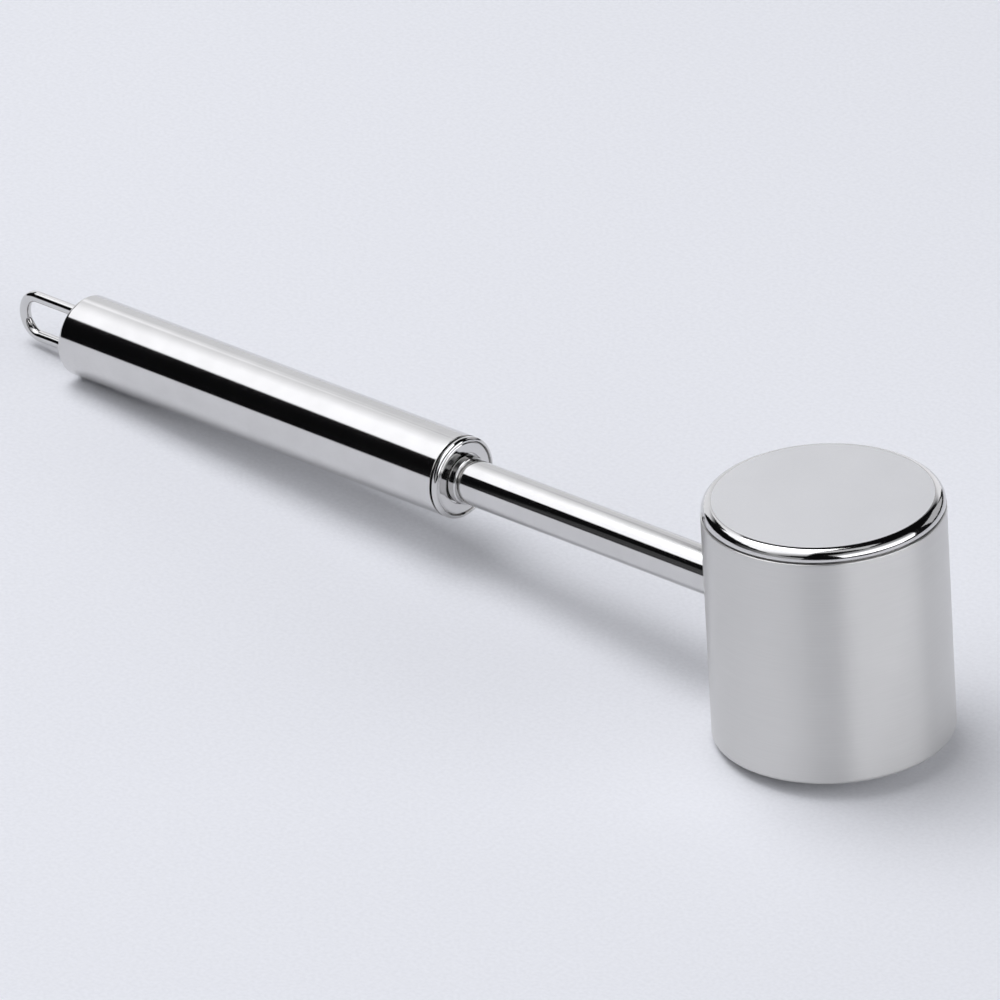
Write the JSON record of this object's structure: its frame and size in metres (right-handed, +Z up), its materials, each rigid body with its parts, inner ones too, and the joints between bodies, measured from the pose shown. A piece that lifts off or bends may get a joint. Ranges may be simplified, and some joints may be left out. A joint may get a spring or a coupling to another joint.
{
  "type": "meat mallet",
  "caption": "All-steel meat mallet: round hollow head with flat striking faces, slim tubular stem, thick tubular handle and a wire hanging loop.",
  "frame": {"origin": "centre of the mallet's footprint, on the table it lies on", "axes": "+X from the tail of the handle towards the head, +Z up from the table; the handle's axis drops 5.05 degrees from the head to the tail"},
  "size_m": [0.3194, 0.062, 0.0707],
  "materials": {
    "satin_steel": "satin",
    "polished_steel": "polished",
    "plain_steel": "matte"
  },
  "bodies": {
    "root": {"head_shell": "satin_steel", "striking_cap": "satin_steel", "base_backing_plate": "plain_steel", "stem_socket": "plain_steel", "stem_tube": "polished_steel", "stem_collar": "polished_steel", "handle_end_cap": "polished_steel", "stem_centring_disc": "plain_steel", "handle_tube": "polished_steel", "loop_anchor_plate": "plain_steel", "hanging_loop": "polished_steel"}
  },
  "joints": []
}
